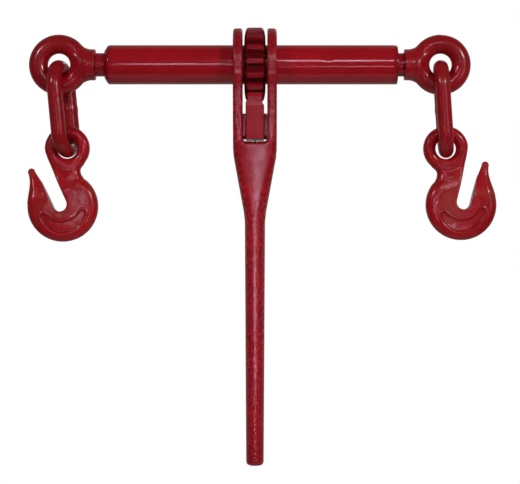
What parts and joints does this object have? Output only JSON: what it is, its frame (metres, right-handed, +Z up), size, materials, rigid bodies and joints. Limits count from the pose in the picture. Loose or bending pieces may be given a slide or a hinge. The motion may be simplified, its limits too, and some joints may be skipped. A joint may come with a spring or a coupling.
{
  "type": "ratchet load binder",
  "caption": "Ratchet load binder: threaded barrel with a toothed gear and a forked ratchet handle, and an eyebolt, link and grab hook at each end.",
  "frame": {"origin": "centre of the ratchet gear, on the barrel's axis", "axes": "+X along the barrel, away from the swaged end; +Z up, with the handle hanging along -Z; the front faces -Y"},
  "size_m": [0.4079, 0.0644, 0.3802],
  "materials": {
    "red_paint": "glossy deep red paint over forged and machined steel",
    "bare_steel": "bare oiled steel"
  },
  "bodies": {
    "barrel": {"barrel_tube": "red_paint", "ratchet_gear": "red_paint", "gear_dowels": "bare_steel"},
    "handle": {"handle": "red_paint", "pawl_pin": "bare_steel", "plunger_spring": "bare_steel"},
    "pawl": {"pawl": "red_paint"},
    "plunger": {"plunger": "bare_steel"},
    "left_stop": {"left_stop_ring": "bare_steel"},
    "right_stop": {"right_stop_ring": "bare_steel"},
    "left_eyebolt": {"left_eyebolt": "red_paint"},
    "right_eyebolt": {"right_eyebolt": "red_paint"},
    "left_link": {"left_link": "red_paint"},
    "right_link": {"right_link": "red_paint"},
    "left_hook": {"left_hook": "red_paint"},
    "right_hook": {"right_hook": "red_paint"}
  },
  "joints": [
    {"name": "handle_swing", "type": "hinge", "parent": "barrel", "child": "handle", "pos_m": [0, 0, 0], "axis": [1, 0, 0], "continuous": true},
    {"name": "pawl_flip", "type": "hinge", "parent": "handle", "child": "pawl", "pos_m": [0, 0, -0.048], "axis": [1, 0, 0], "range_deg": [-7.9, 7.9]},
    {"name": "plunger_travel", "type": "slide", "parent": "handle", "child": "plunger", "axis": [0, 0, 1], "range_m": [-0.002, 0.0008], "stiffness_N_per_m": 800, "deforming": ["plunger_spring"]},
    {"name": "right_travel", "type": "slide", "parent": "barrel", "child": "right_stop", "axis": [1, 0, 0], "range_m": [0, 0.1]},
    {"name": "screw_turn", "type": "hinge", "parent": "right_stop", "child": "right_eyebolt", "pos_m": [0.1613, 0, 0], "axis": [1, 0, 0], "range_deg": [0, 7200]},
    {"name": "left_travel", "type": "slide", "parent": "barrel", "child": "left_stop", "axis": [-1, 0, 0], "range_m": [0, 0.1]},
    {"name": "left_screw_turn", "type": "hinge", "parent": "left_stop", "child": "left_eyebolt", "pos_m": [-0.1702, 0, 0], "axis": [1, 0, 0], "range_deg": [0, 7200]},
    {"name": "left_link_swing", "type": "hinge", "parent": "left_eyebolt", "child": "left_link", "pos_m": [-0.1702, 0, 0], "axis": [0, 1, 0], "range_deg": [-25, 90]},
    {"name": "right_link_swing", "type": "hinge", "parent": "right_eyebolt", "child": "right_link", "pos_m": [0.1613, 0, 0], "axis": [0, -1, 0], "range_deg": [-30, 85]},
    {"name": "left_hook_swing", "type": "hinge", "parent": "left_link", "child": "left_hook", "pos_m": [-0.16307, 0, -0.07267], "axis": [0, 1, 0], "range_deg": [-70, 85]},
    {"name": "right_hook_swing", "type": "hinge", "parent": "right_link", "child": "right_hook", "pos_m": [0.1657, 0, -0.0729], "axis": [0, -1, 0], "range_deg": [-70, 80]}
  ],
  "couplings": [
    {"joint": "right_travel", "follows": "screw_turn", "m_per_rad": 0.00079577},
    {"joint": "left_travel", "follows": "screw_turn", "m_per_rad": 0.00079577},
    {"joint": "left_screw_turn", "follows": "screw_turn", "ratio": 1}
  ]
}
